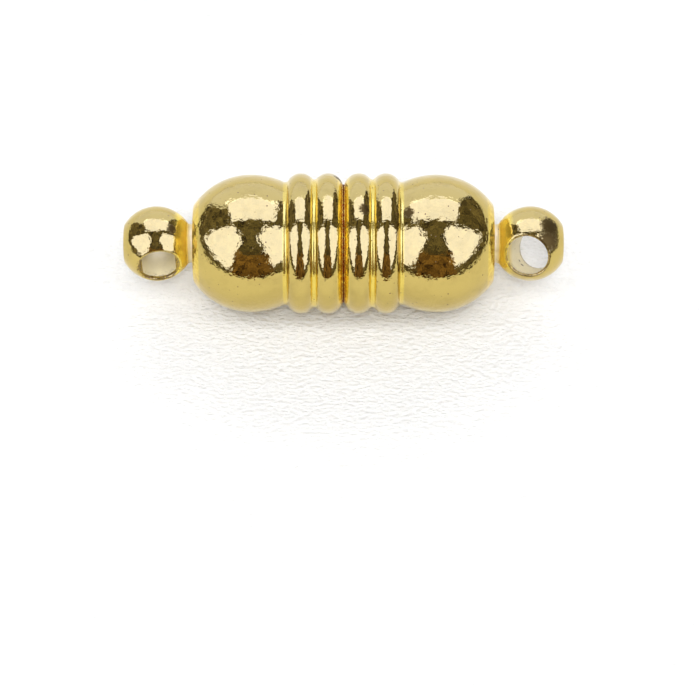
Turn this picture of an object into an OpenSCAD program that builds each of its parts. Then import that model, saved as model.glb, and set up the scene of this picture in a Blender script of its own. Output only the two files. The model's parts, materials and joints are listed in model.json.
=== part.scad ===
// Barrel magnetic clasp with ball loops. Each half is turned from one brass rod: a barrel
// with two ribs, a dome, a neck and a ball that is cross-drilled as a loop. A disc magnet
// sits in a pocket in the face of each half. The axis of the clasp lies along X, the seam
// is the plane x = 0, and the origin is on the axis at the middle of the seam.

/* [Ribs] */
// Diameter over the ribs, the widest part of the clasp
rib_d = 6.1; // [5.6:0.1:8]
// Radius of the rounded back of each rib
rib_round_r = 0.65; // [0.5:0.01:0.8]
// Distance between the two ribs of one half, middle to middle
rib_pitch = 1.18; // [1.1:0.01:1.6]
// Distance from the flat face of a half to the middle of its first rib
rib_setback = 0.64; // [0.5:0.005:0.9]
// Diameter at the bottom of the groove between the two ribs
rib_valley_d = 5.56; // [5:0.02:5.56]
// Diameter at the bottom of the groove between the second rib and the dome
dome_groove_d = 5.34; // [4.9:0.02:5.5]
// Diameter of the flat face where the halves meet
face_d = 5; // [4.7:0.02:5.2]

/* [Dome] */
// Diameter of the dome at its crown
dome_d = 5.98; // [5.7:0.02:6.6]
// Distance from the flat face to the crown of the dome
crown_setback = 4; // [3.7:0.05:4.6]
// Radius of the flatter curve between the groove and the crown
shoulder_r = 3.48; // [3.1:0.02:4]
// Distance from the flat face to the outer end of the dome
barrel_len = 6.475; // [6.3:0.025:6.75]
// Radius of the rounded corner at the end of the dome
dome_corner_r = 0.12; // [0.05:0.01:0.3]

/* [Ball loop] */
// Diameter of the ball
ball_d = 3.24; // [3:0.02:3.6]
// Distance from the end of the dome to the middle of the ball
ball_setoff = 1.62; // [1.5:0.02:2.4]
// Diameter of the flat where the ball was parted from its rod
parting_flat_d = 1.6; // [1:0.02:1.8]
// Radius of the rounded corner around the parting flat
parting_corner_r = 0.3; // [0.05:0.01:0.4]
// Diameter of the neck between the dome and the ball
neck_d = 1.66; // [1.2:0.02:2]
// Diameter of the hole across the ball
hole_d = 1.75; // [1.4:0.05:2]

/* [Angles of the holes] */
// How far the front of the left hole is turned up from level, in degrees
left_hole_rise = 11; // [0:1:80]
// How far the front of the left hole leans towards the barrel, in degrees
left_hole_lean = 7; // [0:1:18]
// How far the left hole misses the ball's centre, away from the barrel
left_hole_out = 0; // [0:0.01:0.2]
// How far the left hole misses the ball's centre, downwards
left_hole_drop = 0; // [0:0.01:0.34]
// How far the front of the right hole is turned up from level, in degrees
right_hole_rise = 51; // [0:1:80]
// How far the front of the right hole leans towards the barrel, in degrees
right_hole_lean = 16; // [0:1:18]
// How far the right hole misses the ball's centre, away from the barrel
right_hole_out = 0.14; // [0:0.01:0.2]
// How far the right hole misses the ball's centre, downwards
right_hole_drop = 0.33; // [0:0.01:0.34]

/* [Magnets] */
// Diameter of each disc magnet
magnet_d = 4; // [3:0.1:4.2]
// Thickness of each disc magnet
magnet_t = 2; // [1:0.1:3]
// Gap around and behind each magnet in its pocket
magnet_clearance = 0.05; // [0.02:0.01:0.1]
// How far each magnet lies below the flat face of its half
magnet_inset = 0.02; // [0:0.01:0.2]
// Gap between the two halves when the clasp is closed
seam_gap = 0.05; // [0.02:0.01:0.2]

/* [Hidden] */
$fn = 128;

// Distances from the seam along one half
face_at = seam_gap / 2;
first_rib_at = face_at + rib_setback;
second_rib_at = first_rib_at + rib_pitch;
crown_at = face_at + crown_setback;
barrel_end_at = face_at + barrel_len;
ball_at = barrel_end_at + ball_setoff;

// Radii of the turned forms
rib_r = rib_d / 2;
dome_r = dome_d / 2;
ball_r = ball_d / 2;
// Distance from the ball's middle to its parting flat
parting_flat_off = sqrt(pow(ball_r, 2) - pow(parting_flat_d / 2, 2));
// The magnet's pocket reaches past the flat face, so that it cuts through it cleanly
pocket_depth = magnet_inset + magnet_t + magnet_clearance;
cut_over = 1;

// One quarter of a lengthwise section: a disc round the axis at `at`, from `at` out to a
// flat `flat_off` further on, with the corner between disc and flat rounded to corner_r
module capped_disc_section(at, disc_r, flat_off, corner_r) {
    corner_off = flat_off - corner_r;
    corner_x = sqrt(pow(disc_r - corner_r, 2) - pow(corner_off, 2));
    tangent_off = corner_off * disc_r / (disc_r - corner_r);
    translate([0, at]) {
        intersection() {
            circle(r = disc_r);
            square([disc_r, tangent_off]);
        }
        square([corner_x, flat_off]);
        translate([corner_x, corner_off])
            circle(r = corner_r);
    }
}

// The curve from the groove to the crown, flatter than the dome and level with it there
module shoulder_section() {
    intersection() {
        translate([dome_r - shoulder_r, crown_at])
            circle(r = shoulder_r);
        translate([0, second_rib_at])
            square([dome_r, crown_at - second_rib_at]);
    }
}

// The solid core that the ribs stand on, one step for each groove
module core_section() {
    translate([0, face_at])
        square([face_d / 2, rib_setback]);
    translate([0, first_rib_at])
        square([rib_valley_d / 2, rib_pitch]);
    translate([0, second_rib_at])
        square([dome_groove_d / 2, crown_at - second_rib_at]);
}

// The rounded backs of the two ribs
module rib_sections() {
    for (at = [first_rib_at, second_rib_at])
        translate([rib_r - rib_round_r, at])
            circle(r = rib_round_r);
}

// Lengthwise section of one half, radius along X and distance from the seam along Y
module half_section() {
    intersection() {
        union() {
            core_section();
            rib_sections();
            shoulder_section();
            capped_disc_section(crown_at, dome_r, barrel_end_at - crown_at, dome_corner_r);
            translate([0, crown_at])
                square([neck_d / 2, ball_at - crown_at]);
            ball_section();
        }
        translate([0, face_at])
            square([rib_r, ball_at + ball_r]);
    }
}

// The ball, round towards the barrel and flat where it was parted off
module ball_section() {
    capped_disc_section(ball_at, ball_r, parting_flat_off, parting_corner_r);
    intersection() {
        translate([0, ball_at])
            circle(r = ball_r);
        translate([0, ball_at - ball_r])
            square([ball_r, ball_r]);
    }
}

// The hole across the ball, in the half that points along +X
module loop_hole(rise, lean, out, drop) {
    translate([ball_at, 0, 0])
        rotate([90 - rise, 0, 0])
            rotate([0, -lean, 0])
                translate([out, -drop, 0])
                    cylinder(d = hole_d, h = ball_d + hole_d / 4, center = true);
}

// The pocket that the magnet is set in
module magnet_pocket() {
    translate([face_at - cut_over, 0, 0])
        rotate([0, 90, 0])
            cylinder(r = magnet_d / 2 + magnet_clearance, h = cut_over + pocket_depth);
}

// One turned half, pointing along +X
module turned_half(rise, lean, out, drop) {
    difference() {
        rotate([0, 90, 0])
            rotate_extrude()
                half_section();
        loop_hole(rise, lean, out, drop);
        magnet_pocket();
    }
}

// One disc magnet, in the half that points along +X
module disc_magnet() {
    translate([face_at + magnet_inset, 0, 0])
        rotate([0, 90, 0])
            cylinder(d = magnet_d, h = magnet_t);
}

module left_barrel() {
    color("gold")
        mirror([1, 0, 0])
            turned_half(left_hole_rise, left_hole_lean, left_hole_out, left_hole_drop);
}

module left_magnet() {
    color("silver")
        mirror([1, 0, 0])
            disc_magnet();
}

module right_barrel() {
    color("gold")
        turned_half(right_hole_rise, right_hole_lean, right_hole_out, right_hole_drop);
}

module right_magnet() {
    color("silver")
        disc_magnet();
}

left_barrel();
left_magnet();
right_barrel();
right_magnet();
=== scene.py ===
"""A gold-plated barrel magnetic clasp with ball loops, lying closed on white paper.

Each half is a turned brass body with a drilled ball at its end and a disc magnet in its face.
Lengths are in metres and angles in radians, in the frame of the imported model, unless a comment
says millimetres or degrees.
"""

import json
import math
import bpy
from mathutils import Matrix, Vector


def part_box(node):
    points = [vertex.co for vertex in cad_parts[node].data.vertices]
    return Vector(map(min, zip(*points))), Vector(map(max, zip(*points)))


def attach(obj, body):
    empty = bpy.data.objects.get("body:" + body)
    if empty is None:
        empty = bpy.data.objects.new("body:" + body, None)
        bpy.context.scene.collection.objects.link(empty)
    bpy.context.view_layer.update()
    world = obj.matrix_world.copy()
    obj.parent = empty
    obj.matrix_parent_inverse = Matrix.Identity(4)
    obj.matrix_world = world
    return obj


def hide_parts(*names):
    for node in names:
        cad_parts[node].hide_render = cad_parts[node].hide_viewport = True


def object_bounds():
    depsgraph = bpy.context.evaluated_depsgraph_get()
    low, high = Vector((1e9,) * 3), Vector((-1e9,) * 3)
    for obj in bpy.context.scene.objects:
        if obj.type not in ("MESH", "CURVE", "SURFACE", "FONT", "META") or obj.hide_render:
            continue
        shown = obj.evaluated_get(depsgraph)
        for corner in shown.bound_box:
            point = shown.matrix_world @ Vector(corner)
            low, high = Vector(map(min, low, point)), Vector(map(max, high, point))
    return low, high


bl_info = {
    "name": "Barrel magnetic clasp",
    "version": (1, 0, 0),
    "blender": (4, 5, 0),
    "location": "View3D > Sidebar > Clasp",
    "description": "Builds a ball-loop magnetic clasp, its finishes and a small studio",
    "category": "Object",
}

import bmesh
import bpy
from bpy.props import FloatProperty, FloatVectorProperty, IntProperty, PointerProperty
from mathutils import Matrix, Vector

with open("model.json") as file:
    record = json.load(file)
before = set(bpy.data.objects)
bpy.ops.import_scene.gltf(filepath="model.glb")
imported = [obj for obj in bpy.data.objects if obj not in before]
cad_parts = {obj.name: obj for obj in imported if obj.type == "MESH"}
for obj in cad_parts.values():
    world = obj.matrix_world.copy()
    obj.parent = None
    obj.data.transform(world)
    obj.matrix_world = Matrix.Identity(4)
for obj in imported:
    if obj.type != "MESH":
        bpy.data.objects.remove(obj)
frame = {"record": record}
cad_low, cad_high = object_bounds()
magnet_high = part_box("right_magnet")[1]

MM = 0.001
FULL_TURN = 2 * math.pi
# Points that lie closer together than this after a spin are one point
MERGE = 0.0001 * MM
# Points that lie less than this outside the hole's radius are on its wall
ON_WALL = 0.005 * MM
# Edges that bend more than this stay sharp
SHARP = math.radians(28)
# Width of the picture, and the clasp's middle in it from the upper left, in pixels
PICTURE = 700
CLASP_X, CLASP_Y = 343.5, 243.5

# Dark olive, dull spots of this one clasp, as (x, y, z, radius) in millimetres: two on the right
# ball's outer side, one on the left ball, one on the right dome, one on each first rib, and
# three small ones on the wall of the right hole. They are partly tarnish and pits, and partly
# painted dark reflection where the metal shows the dim room instead of a soft box.
DARK_SPOTS = ((8.90, 0.06, 1.42, 0.7), (8.84, -0.62, 1.32, 0.8), (-7.38, -0.10, 1.44, 0.36),
             (2.77, -0.08, 2.79, 0.4), (0.91, -0.05, 3.00, 0.42), (-0.28, 2.02, 1.87, 0.45),
             (7.80, -0.55, -0.93, 0.14), (7.69, -0.31, -0.96, 0.1), (7.18, -0.59, 0.95, 0.08))

# How the finish changes along a half, as rows of (distance in millimetres, share of painted
# yellow reflection, dullness, share of worn plate, share of orange stain and painted orange
# reflection). Tumbling polishes neither the seam and the grooves nor the necks and the sides of
# the balls and domes that face each other, so the plate there is duller and keeps a few stains;
# the deeper yellow and orange there are painted reflection of the light that the gold throws
# back and forth between those facing sides.
# Rows outwards from the flat face:
SEAM_ROWS = ((0, 0, 0, 0, 0), (0.03, 1, 0.2, 0, 0.8), (0.06, 1, 0.2, 0, 0.6),
             (0.1, 1, 0.2, 0, 0.35), (0.2, 0.8, 0.2, 0.1, 0.1), (0.29, 0, 0, 0, 0))
# Rows around the end of the dome:
NECK_ROWS = ((-0.32, 0, 0, 0, 0), (-0.24, 0.6, 0.1, 0, 0.12), (0, 0.8, 0.2, 0.3, 0.35),
             (0.03, 0.1, 0.3, 0.85, 0.06), (0.2, 0.1, 0.3, 0.85, 0.06), (0.26, 1, 0.1, 0.6, 0.2),
             (0.45, 1, 0.1, 0.45, 0.1), (0.65, 1, 0.1, 0.2, 0.04), (0.85, 0, 0, 0, 0))
# The two grooves, as (shift of the middle, half of the width, share of painted yellow
# reflection), with the width of their soft edges, all in millimetres, and their dullness and
# share of worn plate
GROOVES = ((0, 0.13, 0.7), (0.05, 0.09, 0.6))
GROOVE_EDGE = 0.04
GROOVE_DULL, GROOVE_WORN = 0.35, 0.1
# Where the middle of the painted shade in the seam's gap lies, in widths of that shade, so that
# the faces stay free of it
SEAM_SHADE_MIDDLE = 0.53

# The soft boxes beside the clasp, in degrees as the clasp sees them: the middle, turned from the
# back towards the right, half of the width, and the rises of the lower and the upper edge
SIDE_BOXES = (("left_soft_box", -117, 31, 12, 68), ("right_soft_box", 118, 32, 15, 72))
# The soft box overhead, in degrees: its tilt past the camera's, and half of its width and depth
TOP_BOX_TILT, TOP_BOX_WIDE, TOP_BOX_DEEP = 60, 31.5, 21.5
# The lights over the paper: rise above the paper in front, in degrees, width and depth in
# metres, and share of the light
PAPER_LIGHTS = (("front_paper_light", 62, 0.1, 0.1, 0.34),
                ("overhead_paper_light", 78, 0.7, 0.12, 0.54),
                ("back_paper_light", 140, 0.4, 0.1, 0.18))
# A brown patch in front and the pale sheet behind, in degrees: the middle, turned from the back
# towards the right, half of the width, the top, and the width of the soft edges
BROWN_PATCH = (180, 30, 42, 8)
BACKDROP = (-6, 39, 36, 1)


def mount(name):
    """A loop hole's middle, direction and radius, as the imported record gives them."""
    found = next(m for m in frame["record"]["mounts"] if m["name"] == name)
    return Vector(found["pos_m"]), Vector(found["axis"]).normalized(), found["dims"]["r_mm"] * MM


def srgb(hex_colour):
    """The linear RGB triple of an sRGB hex colour such as "D8B45A"."""
    parts = [int(hex_colour[i:i + 2], 16) / 255 for i in (0, 2, 4)]
    return tuple(c / 12.92 if c <= 0.04045 else ((c + 0.055) / 1.055) ** 2.4 for c in parts)


def length(name, description, default_mm):
    """A property that holds a length, with its default given in millimetres."""
    return FloatProperty(name=name, description=description, default=default_mm * MM,
                         min=0, unit="LENGTH", subtype="DISTANCE", precision=5)


def colour(name, description, hex_colour):
    """A property that holds a colour, with its default given as an sRGB hex value."""
    return FloatVectorProperty(name=name, description=description, default=srgb(hex_colour),
                               size=3, min=0, max=1, subtype="COLOR")


def brightness(name, description, default):
    """A property that holds a light's brightness in red, green and blue, which may pass 1."""
    return FloatVectorProperty(name=name, description=description, default=default, size=3,
                               min=0, subtype="COLOR")


class ClaspBarrelSizes(bpy.types.PropertyGroup):
    """Sizes of the turned barrel of one half, from the seam outwards, and of its magnet."""
    rib_d: length("Rib diameter", "Diameter over the ribs", (cad_high[2] - cad_low[2]) / MM)
    rib_round: length("Rib rounding", "Radius of the rounded back of each rib", 0.65)
    first_rib_at: length("First rib", "Distance from the seam to the first rib's middle", 0.665)
    rib_pitch: length("Rib pitch", "Distance between the two ribs, middle to middle", 1.18)
    groove_round: length("Groove rounding", "Radius of the rounded bottom of each groove", 0.13)
    dome_d: length("Dome diameter", "Diameter of the dome at its crown", 5.98)
    crown_at: length("Crown", "Distance from the seam to the dome's crown", 4.025)
    shoulder_round: length("Shoulder", "Radius of the flatter curve before the crown", 3.48)
    end_at: length("Dome end", "Distance from the seam to the dome's outer end", 6.5)
    corner_round: length("End corner", "Radius of the corner at the dome's end", 0.12)
    face_at: length("Face", "Distance from the seam to the half's flat face", 0.001)
    edge_round: length("Edge break", "Radius of the broken edges of the face and pocket", 0.04)
    pocket_gap: length("Pocket gap", "Gap around and behind the magnet", 0.05)
    magnet_edge: length("Magnet edge", "Radius of the magnet's rounded edges", 0.15)


class ClaspLoopSizes(bpy.types.PropertyGroup):
    """Sizes of the neck and the drilled ball at the end of one half."""
    neck_d: length("Neck diameter", "Smallest diameter of the neck between dome and ball", 1.66)
    neck_round: length("Neck hollow", "Radius of the hollow turned between dome and ball", 0.2)
    ball_d: length("Ball diameter", "Diameter of the ball", 3.24)
    ball_at: length("Ball", "Distance from the seam to the ball's middle", 8.12)
    flat_d: length("Parting flat", "Diameter of the flat left by parting off", 1.6)
    flat_round: length("Flat's corner", "Radius of the corner around the parting flat", 0.3)
    rim_round: length("Hole rim", "Radius of the worn rim of the hole", 0.08)


class ClaspFinish(bpy.types.PropertyGroup):
    """Colours and surface sizes of the finishes."""
    gold: colour("Gold", "Colour of the gold plate", "C8B165")
    # Painted reflection: a deep yellow that stands for the light the gold throws back onto
    # itself in the grooves, the seam and by the necks
    bounce_yellow: colour("Painted bounce yellow", "Painted reflection of gold on gold in the grooves, seam and necks", "F2D657")
    bore: colour("Hole wall", "Colour of the thin plate in the holes", "ECE1BA")
    # Partly real stains, partly painted reflection of orange light bounced between the facing
    # sides at the seam and by the necks
    stain_and_bounce: colour("Stain", "Colour of the stains and of the painted orange reflection", "B8640C")
    # Tarnish, also used for the spots of painted dark reflection
    tarnish_and_dark_reflection: colour("Tarnish", "Colour of the tarnish and of the painted dark reflections", "5F4C22")
    pit: colour("Pits", "Colour of the dirt in the pits", "481606")
    # Painted shade: the dark of the seam's narrow gap
    seam_shade: colour("Seam shade", "Colour of the painted shade in the seam's gap", "641A04")
    nickel: colour("Nickel", "Colour of the magnets' plating", "CFCBC4")
    paper: colour("Paper", "Colour of the paper", "F4F4F3")
    wave_size: length("Plating waves", "Width of the low waves in the polished plate", 0.3)
    wave_height: length("Wave height", "Height of those waves, exaggerated", 0.018)
    pit_spacing: length("Pit spacing", "Distance between the pits in the plate", 0.25)
    pit_size: length("Pit size", "Radius of the largest pits", 0.03)
    speck_size: length("Specks", "Width of the specks at rims and at the edge of wear", 0.09)
    patch_size: length("Stain patches", "Width of the gaps in the stains and the painted orange reflection", 0.16)
    smear_size: length("Smears", "Width of the faint smears of tarnish", 0.8)
    seam_shade_width: length("Seam shade width", "Width of the painted shade on each side of the seam", 0.028)
    plate_reach: length("Plate in the hole", "How deep the bright plate reaches in", 0.18)
    left_bare: length("Worn wall", "Half of the width of the left hole's worn wall", 0.73)
    nickel_grain: length("Nickel grain", "Width of the nickel plate's grain", 0.1)
    nickel_depth: length("Nickel grain depth", "Depth of the nickel plate's grain", 0.004)
    grain_length: length("Paper grain length", "Length of the paper's fibres along X", 0.27)
    grain_width: length("Paper grain width", "Width of the paper's fibres", 0.14)
    grain_height: length("Paper grain height", "Height of the grain, exaggerated", 0.13)


class ClaspStudio(bpy.types.PropertyGroup):
    """Camera, paper and lights."""
    camera_rise: FloatProperty(name="Camera height", description="Angle above the paper",
                               default=math.radians(62), unit="ROTATION", subtype="ANGLE")
    lens: FloatProperty(name="Lens", description="Focal length", default=150, unit="CAMERA")
    frame_width: length("Frame width", "Width of the picture at the clasp", 30.43)
    paper_reach: length("Paper", "Half of the paper's width", 600)
    light: FloatProperty(name="Light", description="Brightness of the soft boxes", default=1.54)
    light_colour: brightness("Light colour", "Colour of the soft boxes", (1, 1.12, 2.33))
    light_distance: length("Light distance", "Distance of the soft boxes", 250)
    paper_light: brightness("Paper light", "Light over the paper", (1, 1, 1))
    paper_light_distance: length("Paper light distance", "Distance of the paper's lights", 450)
    room_light: brightness("Room light", "Even light that falls on the paper",
                           (0.42, 0.42, 0.42))
    view: brightness("View", "What the camera sees past the paper", (0.93, 0.93, 0.93))
    backdrop: brightness("Backdrop", "The sheet behind, seen in the metal", (1.12, 1.19, 1.68))
    room_dark: colour("Room, dark", "Darkest part of the room, seen in the metal", "342F29")
    room_pale: colour("Room, pale", "Palest part of the room, seen in the metal", "9A9282")
    brown_dark: colour("Brown, dark", "Darkest part of the brown patch in front", "251812")
    brown_pale: colour("Brown, pale", "Palest part of the brown patch in front", "A8875F")
    turn_steps: IntProperty(name="Turn steps", description="Facets around each turned form",
                            default=256, min=32, max=512)


def arc(centre_x, centre_r, radius, start, end, steps):
    """Points of a round stretch of an outline, from angle start to angle end in degrees."""
    turns = [math.radians(start + (end - start) * i / steps) for i in range(steps + 1)]
    return [(centre_x + radius * math.cos(t), centre_r + radius * math.sin(t)) for t in turns]


def groove_between(first, second, radius):
    """The disc that rounds the bottom of the groove between two discs, and two angles.

    Each disc is (middle x, middle r, radius), and first and second are in their order along X.
    The angles are those at which each of them touches the new one, in degrees round its middle.
    """
    (x1, r1, reach1), (x2, r2, reach2) = first, second
    reach1, reach2 = reach1 + radius, reach2 + radius
    apart = math.hypot(x2 - x1, r2 - r1)
    along = (reach1 ** 2 - reach2 ** 2 + apart ** 2) / (2 * apart)
    above = math.sqrt(reach1 ** 2 - along ** 2)
    ux, ur = (x2 - x1) / apart, (r2 - r1) / apart
    x, r = x1 + along * ux - above * ur, r1 + along * ur + above * ux
    turns = [math.degrees(math.atan2(r - middle_r, x - middle_x))
             for middle_x, middle_r in ((x1, r1), (x2, r2))]
    return (x, r, radius), turns[0], turns[1]


def barrel_outline(barrel, loop):
    """Outline of one half without its ball, as (distance from the seam, radius) points.

    It starts on the axis at the back of the magnet's pocket, goes out over the face, the ribs,
    the dome and the neck, and ends on the axis inside the ball.
    """
    pocket_r = magnet_high[2] + barrel.pocket_gap
    pocket_back = magnet_high[0] + barrel.pocket_gap
    edge = barrel.edge_round
    rib_r = barrel.rib_d / 2 - barrel.rib_round
    second_rib_at = barrel.first_rib_at + barrel.rib_pitch
    dome_r = barrel.dome_d / 2
    shoulder_r = dome_r - barrel.shoulder_round
    neck_r = loop.neck_d / 2
    hollow = loop.neck_round
    # Where the ball's skin meets the neck, and how far round the neck's hollow turns each way
    ball_skin = loop.ball_at - math.sqrt((loop.ball_d / 2) ** 2 - neck_r ** 2)
    neck_turn = math.degrees(math.asin((ball_skin - barrel.end_at) / 2 / hollow))
    neck_end = ball_skin + neck_r / 4

    # The discs at the bottom of the two grooves, and the corner by the face
    ribs = [(at, rib_r, barrel.rib_round) for at in (barrel.first_rib_at, second_rib_at)]
    shoulder = (barrel.crown_at, shoulder_r, barrel.shoulder_round)
    valley, valley_in, valley_out = groove_between(ribs[0], ribs[1], barrel.groove_round)
    dip, dip_in, dip_out = groove_between(ribs[1], shoulder, barrel.groove_round)
    seam_turn = 180 - math.degrees(math.acos((barrel.first_rib_at - barrel.face_at - edge)
                                             / barrel.rib_round))
    face_top = rib_r + barrel.rib_round * math.sin(math.radians(seam_turn))

    # The rounded corner between the dome and its end
    corner = barrel.corner_round
    corner_x = barrel.end_at - corner
    corner_r = math.sqrt((dome_r - corner) ** 2 - (corner_x - barrel.crown_at) ** 2)
    corner_turn = math.degrees(math.atan2(corner_r, corner_x - barrel.crown_at))

    points = [(pocket_back, 0), (pocket_back, pocket_r - edge), (pocket_back, pocket_r)]
    points += [(pocket_back - edge, pocket_r), (barrel.face_at + 2 * edge, pocket_r)]
    points += arc(barrel.face_at + edge, pocket_r + edge, edge, 270, 180, steps=4)
    points += [(barrel.face_at, face_top - 2 * edge)]
    points += arc(barrel.face_at + edge, face_top - edge, edge, 180, 100, steps=4)
    points += arc(*ribs[0], seam_turn, valley_in, steps=40)
    points += arc(*valley, valley_in + 180, valley_out + 180, steps=10)[1:]
    points += arc(*ribs[1], valley_out, dip_in, steps=44)[1:]
    points += arc(*dip, dip_in + 180, dip_out + 180, steps=10)[1:]
    points += arc(*shoulder, dip_out, 90, steps=16)[1:]
    points += arc(barrel.crown_at, 0, dome_r, 90, corner_turn, steps=40)[1:]
    points += arc(corner_x, corner_r, corner, corner_turn, 0, steps=6)[1:]
    points += [(barrel.end_at, corner_r - corner)]
    points += arc((barrel.end_at + ball_skin) / 2, neck_r + hollow, hollow, 270 - neck_turn,
                  270 + neck_turn, steps=14)
    points += [(neck_end, neck_r), (neck_end, 0)]
    return points


def ball_column(ball_r, hole_r, rim, miss_along, miss_across):
    """Outline of the drilled ball in one plane through the hole's axis, as (radius, height).

    miss_along and miss_across say how far the ball's middle lies from the hole's axis, in this
    plane and out of it. The loop runs up the hole's wall, over the top rim, down the outside of
    the ball and back in over the lower rim.
    """
    slice_r = math.sqrt(ball_r ** 2 - miss_across ** 2)
    rim_r = hole_r + rim
    rim_top = math.sqrt((slice_r - rim) ** 2 - (rim_r - miss_along) ** 2)
    rim_turn = math.degrees(math.atan2(rim_top, rim_r - miss_along))
    steps = 10
    wall = [(hole_r, rim_top * i / steps) for i in range(-steps, steps)]
    top = arc(rim_r, rim_top, rim, 180, rim_turn, steps=8)
    outside = arc(miss_along, 0, slice_r, rim_turn, -rim_turn, steps=96)[1:-1]
    low = [(r, -h) for r, h in reversed(top)][:-1]
    return wall + top + outside + low


def spin_outline(bm, verts, edges, at, axis, steps):
    """Turns an outline once round an axis and closes the skin that it sweeps."""
    bmesh.ops.spin(bm, geom=verts + edges, cent=at, axis=axis, dvec=(0, 0, 0), angle=FULL_TURN,
                   steps=steps, use_merge=True, use_normal_flip=False, use_duplicate=False)
    bmesh.ops.remove_doubles(bm, verts=bm.verts, dist=MERGE)
    bmesh.ops.recalc_face_normals(bm, faces=bm.faces)


def new_object(bm, name):
    """An object at the origin that holds a bmesh's shape, smooth except at its sharp edges."""
    for face in bm.faces:
        face.smooth = True
    for edge in bm.edges:
        edge.smooth = edge.calc_face_angle(0) < SHARP
    mesh = bpy.data.meshes.new(name)
    bm.to_mesh(mesh)
    bm.free()
    piece = bpy.data.objects.new(name, mesh)
    bpy.context.scene.collection.objects.link(piece)
    return piece


def make_barrel(barrel, loop, steps):
    """The turned barrel and neck of the half that points along +X, as a bmesh."""
    bm = bmesh.new()
    verts = [bm.verts.new((x, 0, r)) for x, r in barrel_outline(barrel, loop)]
    edges = [bm.edges.new(pair) for pair in zip(verts, verts[1:])]
    spin_outline(bm, verts, edges, (0, 0, 0), (1, 0, 0), steps)
    return bm


def cap_ball(bm, loop):
    """Moves the outer end of a ball in, to the flat where it was parted off its rod."""
    ball_r = loop.ball_d / 2
    corner = loop.flat_round
    flat = math.sqrt(ball_r ** 2 - (loop.flat_d / 2) ** 2)
    corner_r = math.sqrt((ball_r - corner) ** 2 - (flat - corner) ** 2)
    round_end = corner_r * ball_r / (ball_r - corner)
    for vert in bm.verts:
        radius = math.hypot(vert.co.y, vert.co.z)
        if radius < round_end:
            past = max(0, radius - corner_r)
            reach = flat - corner + math.sqrt(corner ** 2 - past ** 2)
            vert.co.x = min(vert.co.x, loop.ball_at + reach)


def make_ball(loop, hole_at, hole_axis, hole_r, steps):
    """The drilled ball of the half that points along +X, turned round its hole, as a bmesh."""
    ball_r = loop.ball_d / 2
    ball_at = Vector((loop.ball_at, 0, 0))
    on_axis = hole_at + hole_axis * hole_axis.dot(ball_at - hole_at)
    miss = ball_at - on_axis
    side = hole_axis.orthogonal().normalized()
    other = hole_axis.cross(side)

    bm = bmesh.new()
    row = bm.verts.layers.int.new("row")
    verts = []
    for number, (r, h) in enumerate(ball_column(ball_r, hole_r, loop.rim_round, 0, 0)):
        vert = bm.verts.new(on_axis + side * r + hole_axis * h)
        vert[row] = number
        verts.append(vert)
    edges = [bm.edges.new(pair) for pair in zip(verts, verts[1:] + verts[:1])]
    spin_outline(bm, verts, edges, on_axis, hole_axis, steps)

    # The hole misses the ball's middle, so each plane through its axis has an outline of its own
    columns = []
    for step in range(steps):
        turn = FULL_TURN * step / steps
        along = side * math.cos(turn) + other * math.sin(turn)
        across = other * math.cos(turn) - side * math.sin(turn)
        outline = ball_column(ball_r, hole_r, loop.rim_round, miss.dot(along), miss.dot(across))
        columns.append([on_axis + along * r + hole_axis * h for r, h in outline])
    for vert in bm.verts:
        out = vert.co - on_axis
        turn = math.atan2(out.dot(other), out.dot(side))
        vert.co = columns[round(turn * steps / FULL_TURN) % steps][vert[row]]
    cap_ball(bm, loop)
    bmesh.ops.recalc_face_normals(bm, faces=bm.faces)
    return bm


def join_solids(name, first, second):
    """The union of two closed shapes, as a bmesh."""
    body = new_object(first, name)
    other = new_object(second, name + "_part")
    join = body.modifiers.new("join", "BOOLEAN")
    join.operation = "UNION"
    join.solver = "EXACT"
    join.object = other
    shape = body.evaluated_get(bpy.context.evaluated_depsgraph_get())
    bm = bmesh.new()
    bm.from_mesh(bpy.data.meshes.new_from_object(shape))
    bpy.data.objects.remove(other)
    bpy.data.objects.remove(body)
    return bm


def mark_hole(bm, hole_at, hole_axis, hole_r, side, scene):
    """Writes where the hole's wall and rim are, as two vertex attributes from 0 to 1.

    bore reaches 0.5 on the wall where the bright plate ends, plate_reach below the ball's skin.
    The left hole's wall is worn only along its middle, and the plate beside that stays bright.
    """
    loop, finish = scene.clasp_loop, scene.clasp_finish
    ball_at = Vector((side * loop.ball_at, 0, 0))
    bare = finish.left_bare if side < 0 else 2 * hole_r
    speck_reach = 1.5 * loop.rim_round
    bore = bm.verts.layers.float.new("bore")
    rim = bm.verts.layers.float.new("rim")
    sideways = hole_axis.cross(Vector((0, 0, 1))).normalized()
    for vert in bm.verts:
        out = vert.co - hole_at
        past = (out - hole_axis * out.dot(hole_axis)).length - hole_r
        depth = loop.ball_d / 2 - (vert.co - ball_at).length
        if past < ON_WALL and abs(out.dot(sideways)) < bare:
            vert[bore] = max(0, min(1, depth / (2 * finish.plate_reach)))
        vert[rim] = max(0, 1 - past / speck_reach) * (1 - vert[bore])


def make_half(name, hole_name, side, scene):
    """One turned half as a finished piece. side is 1 for the right half and -1 for the left."""
    loop, steps = scene.clasp_loop, scene.clasp_studio.turn_steps
    flip = Vector((side, 1, 1))
    hole_at, hole_axis, hole_r = mount(hole_name)
    ball = make_ball(loop, hole_at * flip, hole_axis * flip, hole_r, steps)
    bm = join_solids(name, make_barrel(scene.clasp_barrel, loop, steps), ball)
    bmesh.ops.scale(bm, vec=flip, verts=bm.verts)
    bmesh.ops.recalc_face_normals(bm, faces=bm.faces)
    mark_hole(bm, hole_at, hole_axis, hole_r, side, scene)
    return new_object(bm, name)


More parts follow.
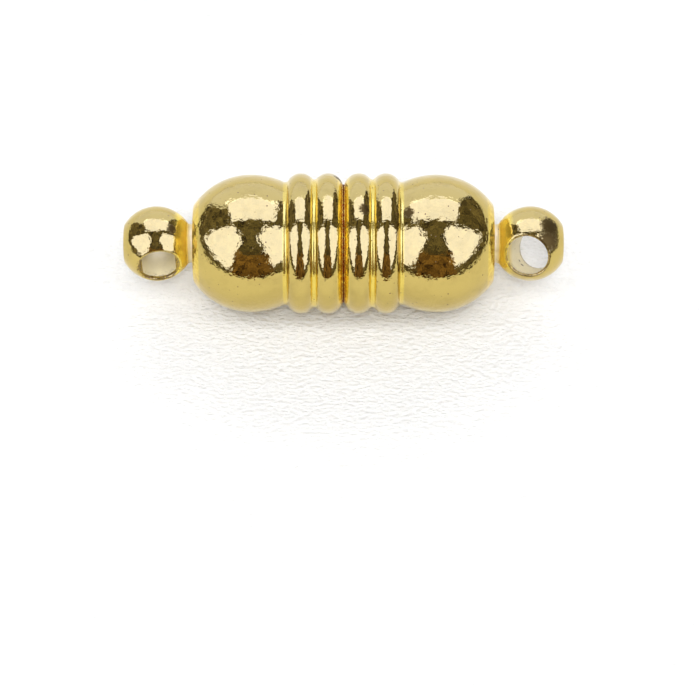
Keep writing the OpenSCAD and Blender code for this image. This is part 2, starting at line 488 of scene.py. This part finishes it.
def make_disc(name, low, high, edge_round):
    """A disc magnet with rounded edges, in the box of its CAD solid."""
    radius = (high[2] - low[2]) / 2
    bm = bmesh.new()
    bmesh.ops.create_cone(bm, cap_ends=True, segments=128, radius1=radius, radius2=radius,
                          depth=high[0] - low[0])
    rims = [e for e in bm.edges if abs(e.verts[0].co.z - e.verts[1].co.z) < MERGE]
    bmesh.ops.bevel(bm, geom=rims, affect="EDGES", offset=edge_round, offset_type="OFFSET",
                    segments=4, profile=0.5, material=-1, clamp_overlap=True)
    bmesh.ops.rotate(bm, matrix=Matrix.Rotation(math.pi / 2, 3, "Y"), verts=bm.verts)
    bmesh.ops.translate(bm, vec=((low[0] + high[0]) / 2, 0, 0), verts=bm.verts)
    return new_object(bm, name)


def add_node(tree, kind, inputs, **settings):
    """Adds a node with its settings. An input's value is an output socket or a plain value."""
    node = tree.nodes.new(kind)
    for key, value in settings.items():
        setattr(node, key, value)
    for key, value in inputs.items():
        if isinstance(value, bpy.types.NodeSocket):
            tree.links.new(value, node.inputs[key])
        else:
            node.inputs[key].default_value = value
    return node


def new_material(name):
    """A material with a Principled shader, and its tree, shader and object coordinates."""
    material = bpy.data.materials.new(name)
    material.use_nodes = True
    tree = material.node_tree
    shader = tree.nodes["Principled BSDF"]
    place = add_node(tree, "ShaderNodeTexCoord", {}).outputs["Object"]
    return material, tree, shader, place


def finish_rows(barrel):
    """The rows of SEAM_ROWS, the grooves and NECK_ROWS, with distances from the seam."""
    rows = [(barrel.face_at + at * MM, *shares) for at, *shares in SEAM_ROWS]
    first_groove = barrel.first_rib_at + barrel.rib_pitch / 2
    for number, (shift, reach, bounce_yellow) in enumerate(GROOVES):
        middle = first_groove + number * barrel.rib_pitch + shift * MM
        # The grooves get the painted yellow reflection
        inside = (bounce_yellow, GROOVE_DULL, GROOVE_WORN, 0)
        for at, shares in ((-reach - GROOVE_EDGE, (0, 0, 0, 0)), (-reach, inside),
                           (reach, inside), (reach + GROOVE_EDGE, (0, 0, 0, 0))):
            rows.append((middle + at * MM, *shares))
    return rows + [(barrel.end_at + at * MM, *shares) for at, *shares in NECK_ROWS]


def bands_along_x(tree, place, scene):
    """Painted reflection and shade, and the finish, by the distance from the seam, as five
    sockets.

    They are the share of painted yellow reflection, the dullness, the share of worn plate, the
    share of orange stain and painted orange reflection, which a fine noise breaks up, and the
    painted shade in the seam's gap.
    """
    finish = scene.clasp_finish
    reach = scene.clasp_loop.ball_at
    along = add_node(tree, "ShaderNodeSeparateXYZ", {"Vector": place}).outputs["X"]
    distance = add_node(tree, "ShaderNodeMath", {0: along}, operation="ABSOLUTE").outputs[0]
    way_out = add_node(tree, "ShaderNodeMath", {0: distance, 1: reach}, operation="DIVIDE")
    band_ramp = add_node(tree, "ShaderNodeValToRGB", {"Fac": way_out.outputs[0]})
    rows = finish_rows(scene.clasp_barrel)
    elements = band_ramp.color_ramp.elements
    while len(elements) < len(rows):
        elements.new(0.5)
    for element, (at, *shares) in zip(elements, rows):
        element.position = at / reach
        element.color = shares
    parts = add_node(tree, "ShaderNodeSeparateColor", {"Color": band_ramp.outputs["Color"]})
    patches = add_node(tree, "ShaderNodeTexNoise",
                       {"Vector": place, "Scale": 1 / finish.patch_size, "Detail": 3})
    patchy = add_node(tree, "ShaderNodeMapRange",
                      {"Value": patches.outputs["Fac"], "From Min": 0.4, "From Max": 0.62})
    # Orange stains and painted orange reflection, broken into patches
    stain_and_bounce = add_node(tree, "ShaderNodeMath",
                     {0: band_ramp.outputs["Alpha"], 1: patchy.outputs["Result"]},
                     operation="MULTIPLY")
    # Painted shade down the middle of the seam's gap
    middle = scene.clasp_barrel.face_at + SEAM_SHADE_MIDDLE * finish.seam_shade_width
    seam_shade = add_node(tree, "ShaderNodeMath",
                    {0: distance, 1: middle, 2: finish.seam_shade_width / 2}, operation="COMPARE")
    return (*(parts.outputs[name] for name in ("Red", "Green", "Blue")), stain_and_bounce.outputs[0],
            seam_shade.outputs[0])


def worn_wall(tree, specks):
    """The share of worn plate deep in the hole, from an attribute, with a speckled edge."""
    bore = add_node(tree, "ShaderNodeAttribute", {}, attribute_name="bore").outputs["Fac"]
    uneven = add_node(tree, "ShaderNodeMath", {0: specks, 1: 0.4, 2: bore},
                      operation="MULTIPLY_ADD")
    bare = add_node(tree, "ShaderNodeMapRange",
                    {"Value": uneven.outputs[0], "From Min": 0.66, "From Max": 0.76})
    return bare.outputs["Result"]


def tarnish_and_dark_reflections(tree, place, specks, finish):
    """The share of the dark spots, partly tarnish and partly painted dark reflection, with edges
    broken up by specks, and of faint wide smears of tarnish.
    """
    spots = 0
    # Spots of tarnish and of painted dark reflection
    for x, y, z, spot_r in DARK_SPOTS:
        apart = add_node(tree, "ShaderNodeVectorMath",
                         {0: place, 1: Vector((x, y, z)) * MM}, operation="DISTANCE")
        inside = add_node(tree, "ShaderNodeMapRange",
                          {"Value": apart.outputs["Value"], "From Max": spot_r * MM,
                           "To Min": 1, "To Max": 0})
        spots = add_node(tree, "ShaderNodeMath", {0: spots, 1: inside.outputs["Result"]},
                         operation="MAXIMUM").outputs[0]
    frayed = add_node(tree, "ShaderNodeMath", {0: spots, 1: specks}, operation="MULTIPLY")
    clear = add_node(tree, "ShaderNodeMapRange",
                     {"Value": frayed.outputs[0], "From Min": 0.14, "From Max": 0.26})
    smears = add_node(tree, "ShaderNodeTexNoise",
                      {"Vector": place, "Scale": 1 / finish.smear_size, "Detail": 5,
                       "Roughness": 0.7})
    faint = add_node(tree, "ShaderNodeMapRange",
                     {"Value": smears.outputs["Fac"], "From Min": 0.48, "From Max": 0.72,
                      "To Max": 0.15})
    both = add_node(tree, "ShaderNodeMath",
                    {0: clear.outputs["Result"], 1: faint.outputs["Result"]},
                    operation="MAXIMUM")
    return both.outputs[0]


def pitted(tree, place, specks, finish):
    """The share of dark pits in the plate and of specks along the rim of the hole.

    Each cell has one pit, of a size that the cell's own grey value sets. The rim comes from an
    attribute of the mesh.
    """
    cells = add_node(tree, "ShaderNodeTexVoronoi",
                     {"Vector": place, "Scale": 1 / finish.pit_spacing})
    grey = add_node(tree, "ShaderNodeSeparateColor", {"Color": cells.outputs["Color"]})
    radius = add_node(tree, "ShaderNodeMath",
                      {0: grey.outputs["Red"], 1: finish.pit_size / finish.pit_spacing},
                      operation="MULTIPLY")
    inside = add_node(tree, "ShaderNodeMath",
                      {0: radius.outputs[0], 1: cells.outputs["Distance"]},
                      operation="SUBTRACT")
    pits = add_node(tree, "ShaderNodeMapRange",
                    {"Value": inside.outputs[0], "From Min": -0.01, "From Max": 0.015})
    rim = add_node(tree, "ShaderNodeAttribute", {}, attribute_name="rim").outputs["Fac"]
    speckled = add_node(tree, "ShaderNodeMapRange",
                        {"Value": specks, "From Min": 0.52, "From Max": 0.58, "To Max": rim})
    both = add_node(tree, "ShaderNodeMath",
                    {0: pits.outputs["Result"], 1: speckled.outputs["Result"]},
                    operation="MAXIMUM")
    return both.outputs[0]


def gold_plate(scene):
    """Bright gold plate over brass that was turned, tumbled and electroplated.

    The metal is a mirror with low waves left by tumbling and a few dark pits. In the grooves,
    the seam and around the necks it is a little dull, with a few real stains, and painted a
    deeper yellow and orange as painted reflection of the light that the gold throws back onto
    itself there. It is worn on the necks and on the rough wall of the drilled holes. The seam's
    gap is painted dark as painted shade, and a few spots are painted dark, partly as tarnish and
    partly as painted dark reflection.
    """
    finish = scene.clasp_finish
    material, tree, shader, place = new_material("gold_plate_over_brass")
    specks = add_node(tree, "ShaderNodeTexNoise",
                      {"Vector": place, "Scale": 1 / finish.speck_size, "Detail": 2})
    specks = specks.outputs["Fac"]
    bounce_yellow, dull, thin, stain_and_bounce, seam_shade = bands_along_x(tree, place, scene)
    tarnish_and_dark_reflection = tarnish_and_dark_reflections(tree, place, specks, finish)
    pits = pitted(tree, place, specks, finish)
    worn = add_node(tree, "ShaderNodeMath", {0: worn_wall(tree, specks), 1: thin},
                    operation="MAXIMUM").outputs[0]

    # Each layer covers the ones before it by its share
    seen = (*finish.gold, 1)
    # The deep yellow and orange layers paint reflected light, the dark spots partly paint dark
    # reflections, and the last layer paints the seam's shade
    for share, layer in ((worn, finish.bore), (bounce_yellow, finish.bounce_yellow), (stain_and_bounce, finish.stain_and_bounce),
                         (tarnish_and_dark_reflection, finish.tarnish_and_dark_reflection), (pits, finish.pit), (seam_shade, finish.seam_shade)):
        seen = add_node(tree, "ShaderNodeMix", {0: share, 6: seen, 7: (*layer, 1)},
                        data_type="RGBA").outputs[2]
    tree.links.new(seen, shader.inputs["Base Color"])

    # Worn and pitted plate, and the orange stain with its painted orange reflection, are less
    # metallic, and these and the dark spots of tarnish and painted dark reflection are less
    # shiny
    spoilt = worn
    for share in (pits, stain_and_bounce):
        spoilt = add_node(tree, "ShaderNodeMath", {0: spoilt, 1: share},
                          operation="MAXIMUM").outputs[0]
    for share in (spoilt, tarnish_and_dark_reflection):
        dull = add_node(tree, "ShaderNodeMath", {0: dull, 1: share},
                        operation="MAXIMUM").outputs[0]
    metal = add_node(tree, "ShaderNodeMapRange", {"Value": spoilt, "To Min": 1, "To Max": 0.2})
    polish = add_node(tree, "ShaderNodeMapRange",
                      {"Value": dull, "To Min": 0.03, "To Max": 0.45})

    # The painted shade in the seam's gap is neither metal nor shiny
    for socket, clean, shaded in (("Metallic", metal.outputs["Result"], 0),
                                 ("Roughness", polish.outputs["Result"], 0.9),
                                 ("Specular IOR Level", 0.5, 0)):
        mixed = add_node(tree, "ShaderNodeMapRange",
                         {"Value": seam_shade, "To Min": clean, "To Max": shaded})
        tree.links.new(mixed.outputs["Result"], shader.inputs[socket])

    # The waves are higher than the real ones, which a picture of this size wouldn't show, and
    # the pits are sunk by half of a wave
    waves = add_node(tree, "ShaderNodeTexNoise",
                     {"Vector": place, "Scale": 1 / finish.wave_size, "Detail": 3,
                      "Roughness": 0.5})
    sunk = add_node(tree, "ShaderNodeMath", {0: pits, 1: -0.5, 2: waves.outputs["Fac"]},
                    operation="MULTIPLY_ADD")
    bump = add_node(tree, "ShaderNodeBump",
                    {"Height": sunk.outputs[0], "Distance": finish.wave_height, "Strength": 1})
    tree.links.new(bump.outputs["Normal"], shader.inputs["Normal"])
    return material


def nickel_plate(finish):
    """Nickel plate on a pressed and ground neodymium disc, bright but softer than a mirror."""
    material, tree, shader, place = new_material("nickel_plate")
    shader.inputs["Base Color"].default_value = (*finish.nickel, 1)
    shader.inputs["Metallic"].default_value = 1
    shader.inputs["Roughness"].default_value = 0.2
    grain = add_node(tree, "ShaderNodeTexNoise",
                     {"Vector": place, "Scale": 1 / finish.nickel_grain, "Detail": 3})
    bump = add_node(tree, "ShaderNodeBump",
                    {"Height": grain.outputs["Fac"], "Distance": finish.nickel_depth,
                     "Strength": 1})
    tree.links.new(bump.outputs["Normal"], shader.inputs["Normal"])
    return material


def paper(finish):
    """Thick white drawing paper, rolled and matt, with a grain of fibres drawn out along X.

    The grain is higher than the real one, which a picture of this size wouldn't show.
    """
    material, tree, shader, place = new_material("white_paper")
    shader.inputs["Base Color"].default_value = (*finish.paper, 1)
    shader.inputs["Roughness"].default_value = 0.9
    shader.inputs["Specular IOR Level"].default_value = 0.2
    across = 1 / finish.grain_width
    drawn = add_node(tree, "ShaderNodeMapping",
                     {"Vector": place, "Scale": (1 / finish.grain_length, across, across)})
    grain = add_node(tree, "ShaderNodeTexNoise",
                     {"Vector": drawn.outputs["Vector"], "Scale": 1, "Detail": 2})
    bump = add_node(tree, "ShaderNodeBump",
                    {"Height": grain.outputs["Fac"], "Distance": finish.grain_height,
                     "Strength": 1})
    tree.links.new(bump.outputs["Normal"], shader.inputs["Normal"])
    return material


def finish_piece(piece, material, body, node):
    """Gives a piece its finish and its body, and hides the CAD node that it stands for."""
    piece.data.materials.clear()
    piece.data.materials.append(material)
    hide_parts(node)
    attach(piece, body)


class CLASP_OT_halves(bpy.types.Operator):
    """Builds the two turned halves with their drilled balls"""
    bl_idname = "clasp.make_halves"
    bl_label = "Turned halves"

    def execute(self, context):
        material = gold_plate(context.scene)
        for name, side in (("left", -1), ("right", 1)):
            piece = make_half(name + "_turned_half", name + "_loop_hole", side, context.scene)
            finish_piece(piece, material, name + "_half", name + "_barrel")
        return {"FINISHED"}


class CLASP_OT_magnets(bpy.types.Operator):
    """Builds the two disc magnets"""
    bl_idname = "clasp.make_magnets"
    bl_label = "Disc magnets"

    def execute(self, context):
        material = nickel_plate(context.scene.clasp_finish)
        for name in ("left", "right"):
            low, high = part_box(name + "_magnet")
            piece = make_disc(name + "_disc_magnet", low, high,
                              context.scene.clasp_barrel.magnet_edge)
            finish_piece(piece, material, name + "_half", name + "_magnet")
        return {"FINISHED"}


def make_floor(scene):
    """A wide sheet of white paper under the clasp."""
    reach = scene.clasp_studio.paper_reach
    bm = bmesh.new()
    corners = [bm.verts.new((x * reach, y * reach, cad_low[2]))
               for x, y in ((-1, -1), (1, -1), (1, 1), (-1, 1))]
    bm.faces.new(corners)
    floor = new_object(bm, "paper_sheet")
    floor.data.materials.append(paper(scene.clasp_finish))


def add_soft_box(name, centre, across, upwards, radiance, tint):
    """A rectangular soft box. across and upwards run from its middle to its edges' middles."""
    facing = across.cross(upwards).normalized()
    lamp = bpy.data.lights.new(name, "AREA")
    lamp.shape = "RECTANGLE"
    lamp.size, lamp.size_y = 2 * across.length, 2 * upwards.length
    lamp.energy = math.pi * lamp.size * lamp.size_y * radiance
    lamp.color = tint
    box = bpy.data.objects.new(name, lamp)
    turn = Matrix((across.normalized(), upwards.normalized(), facing)).transposed()
    box.matrix_world = Matrix.Translation(centre) @ turn.to_4x4()
    box.visible_camera = False
    bpy.context.scene.collection.objects.link(box)
    return box


def add_side_box(studio, name, middle, spread, low, high):
    """An upright soft box beside the clasp, from a row of SIDE_BOXES."""
    far = studio.light_distance
    middle, spread, low, high = (math.radians(angle) for angle in (middle, spread, low, high))
    out = Vector((math.sin(middle), math.cos(middle), 0))
    rise = (math.tan(low) + math.tan(high)) / 2
    centre = (out + Vector((0, 0, rise))) * far
    across = Vector((-out.y, out.x, 0)) * far * math.tan(spread)
    upwards = Vector((0, 0, 1)) * far * (math.tan(high) - math.tan(low)) / 2
    return add_soft_box(name, centre, across, upwards, studio.light, studio.light_colour)


def add_top_box(studio, name):
    """The soft box overhead, which faces the clasp."""
    far = studio.light_distance
    tilt = studio.camera_rise + math.radians(TOP_BOX_TILT)
    facing = Vector((0, -math.cos(tilt), math.sin(tilt)))
    along_x = Vector((1, 0, 0))
    across = along_x * far * math.tan(math.radians(TOP_BOX_WIDE))
    upwards = facing.cross(along_x) * far * math.tan(math.radians(TOP_BOX_DEEP))
    return add_soft_box(name, facing * far, across, upwards, studio.light, studio.light_colour)


def add_paper_light(studio, name, rise, width, depth, share):
    """A soft light that brightens the paper without showing in the metal."""
    rise = math.radians(rise)
    facing = Vector((0, -math.cos(rise), math.sin(rise)))
    across = Vector((width / 2, 0, 0))
    upwards = facing.cross(across).normalized() * depth / 2
    away = studio.paper_light_distance
    radiance = share * math.pi * away ** 2 / (width * depth * math.sin(rise))
    box = add_soft_box(name, facing * away, across, upwards, radiance, studio.paper_light)
    box.visible_glossy = False


def make_lights(studio):
    """Soft boxes on each side and overhead that the metal mirrors, and lights for the paper."""
    boxes = [add_side_box(studio, *row) for row in SIDE_BOXES]
    boxes.append(add_top_box(studio, "top_soft_box"))
    for box in boxes:
        box.visible_diffuse = False
    for row in PAPER_LIGHTS:
        add_paper_light(studio, *row)


def make_world(scene):
    """A dim room that the metal mirrors, with even light for the paper and a pale view."""
    studio = scene.clasp_studio
    world = bpy.data.worlds.new("studio_room")
    scene.world = world
    world.use_nodes = True
    tree = world.node_tree
    way = add_node(tree, "ShaderNodeTexCoord", {}).outputs["Generated"]
    parts = add_node(tree, "ShaderNodeSeparateXYZ", {"Vector": way})
    turn = add_node(tree, "ShaderNodeMath", {0: parts.outputs["X"], 1: parts.outputs["Y"]},
                    operation="ARCTAN2")
    blotches = add_node(tree, "ShaderNodeTexNoise", {"Vector": way, "Scale": 8, "Detail": 4})
    spread = add_node(tree, "ShaderNodeMapRange",
                      {"Value": blotches.outputs["Fac"], "From Min": 0.35, "From Max": 0.66})
    room, brown = (add_node(tree, "ShaderNodeMix",
                            {0: spread.outputs["Result"], 6: (*dark, 1), 7: (*pale, 1)},
                            data_type="RGBA").outputs[2]
                   for dark, pale in ((studio.room_dark, studio.room_pale),
                                      (studio.brown_dark, studio.brown_pale)))

    # The brown patch and the sheet end at their sides and at their tops
    seen = room
    for row, layer in ((BROWN_PATCH, brown), (BACKDROP, (*studio.backdrop, 1))):
        middle, reach, top, soft = (math.radians(angle) for angle in row)
        aside = add_node(tree, "ShaderNodeMath", {0: turn.outputs[0], 1: middle},
                         operation="SUBTRACT")
        wrapped = add_node(tree, "ShaderNodeMath",
                           {0: aside.outputs[0], 1: math.pi, 2: -math.pi}, operation="WRAP")
        apart = add_node(tree, "ShaderNodeMath", {0: wrapped.outputs[0]}, operation="ABSOLUTE")
        beside = add_node(tree, "ShaderNodeMapRange",
                          {"Value": apart.outputs[0], "From Min": reach - soft / 2,
                           "From Max": reach + soft / 2})
        above = add_node(tree, "ShaderNodeMapRange",
                         {"Value": parts.outputs["Z"], "From Min": math.sin(top - soft / 2),
                          "From Max": math.sin(top + soft / 2)})
        outside = add_node(tree, "ShaderNodeMath",
                           {0: beside.outputs["Result"], 1: above.outputs["Result"]},
                           operation="MAXIMUM")
        seen = add_node(tree, "ShaderNodeMix", {0: outside.outputs[0], 6: layer, 7: seen},
                        data_type="RGBA").outputs[2]

    rays = add_node(tree, "ShaderNodeLightPath", {})
    for kind, layer in (("Is Diffuse Ray", studio.room_light), ("Is Camera Ray", studio.view)):
        seen = add_node(tree, "ShaderNodeMix", {0: rays.outputs[kind], 6: seen, 7: (*layer, 1)},
                        data_type="RGBA").outputs[2]
    tree.links.new(seen, tree.nodes["Background"].inputs["Color"])


def make_camera(scene):
    """The camera at the photograph's angle, with the clasp in the upper half of the picture."""
    studio = scene.clasp_studio
    rise = studio.camera_rise
    back = Vector((0, -math.cos(rise), math.sin(rise)))
    up = Vector((0, math.sin(rise), math.cos(rise)))
    pixel = studio.frame_width / PICTURE
    aim = (Vector((PICTURE / 2 - CLASP_X, 0, 0)) - up * (PICTURE / 2 - CLASP_Y)) * pixel
    data = bpy.data.cameras.new("camera")
    data.lens = studio.lens
    data.clip_start = 0.01
    away = studio.frame_width * studio.lens / data.sensor_width
    camera = bpy.data.objects.new("camera", data)
    camera.matrix_world = Matrix.Translation(aim + back * away) @ Matrix.Rotation(
        math.pi / 2 - rise, 4, "X")
    scene.collection.objects.link(camera)
    scene.camera = camera


class CLASP_OT_stage(bpy.types.Operator):
    """Sets up the paper, the lights and the camera"""
    bl_idname = "clasp.make_stage"
    bl_label = "Paper, lights and camera"

    def execute(self, context):
        scene = context.scene
        make_floor(scene)
        make_lights(scene.clasp_studio)
        make_world(scene)
        make_camera(scene)
        scene.view_settings.view_transform = "Standard"
        return {"FINISHED"}


class CLASP_PT_panel(bpy.types.Panel):
    """Lists the clasp's sizes, finishes and steps"""
    bl_idname = "CLASP_PT_panel"
    bl_label = "Magnetic clasp"
    bl_space_type = "VIEW_3D"
    bl_region_type = "UI"
    bl_category = "Clasp"

    def draw(self, context):
        for attribute, group in GROUPS.items():
            column = self.layout.column(align=True)
            for name in group.__annotations__:
                column.prop(getattr(context.scene, attribute), name)
        for operator in OPERATORS:
            self.layout.operator(operator.bl_idname)


GROUPS = {
    "clasp_barrel": ClaspBarrelSizes,
    "clasp_loop": ClaspLoopSizes,
    "clasp_finish": ClaspFinish,
    "clasp_studio": ClaspStudio,
}
OPERATORS = (CLASP_OT_stage, CLASP_OT_halves, CLASP_OT_magnets)


def register():
    for name, group in GROUPS.items():
        bpy.utils.register_class(group)
        setattr(bpy.types.Scene, name, PointerProperty(type=group))
    for operator in OPERATORS:
        bpy.utils.register_class(operator)
    bpy.utils.register_class(CLASP_PT_panel)


def unregister():
    bpy.utils.unregister_class(CLASP_PT_panel)
    for operator in reversed(OPERATORS):
        bpy.utils.unregister_class(operator)
    for name, group in GROUPS.items():
        delattr(bpy.types.Scene, name)
        bpy.utils.unregister_class(group)


def main():
    """Registers the classes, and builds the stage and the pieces."""
    register()
    bpy.ops.clasp.make_stage()
    bpy.ops.clasp.make_halves()
    bpy.ops.clasp.make_magnets()


if __name__ == "__main__":
    main()
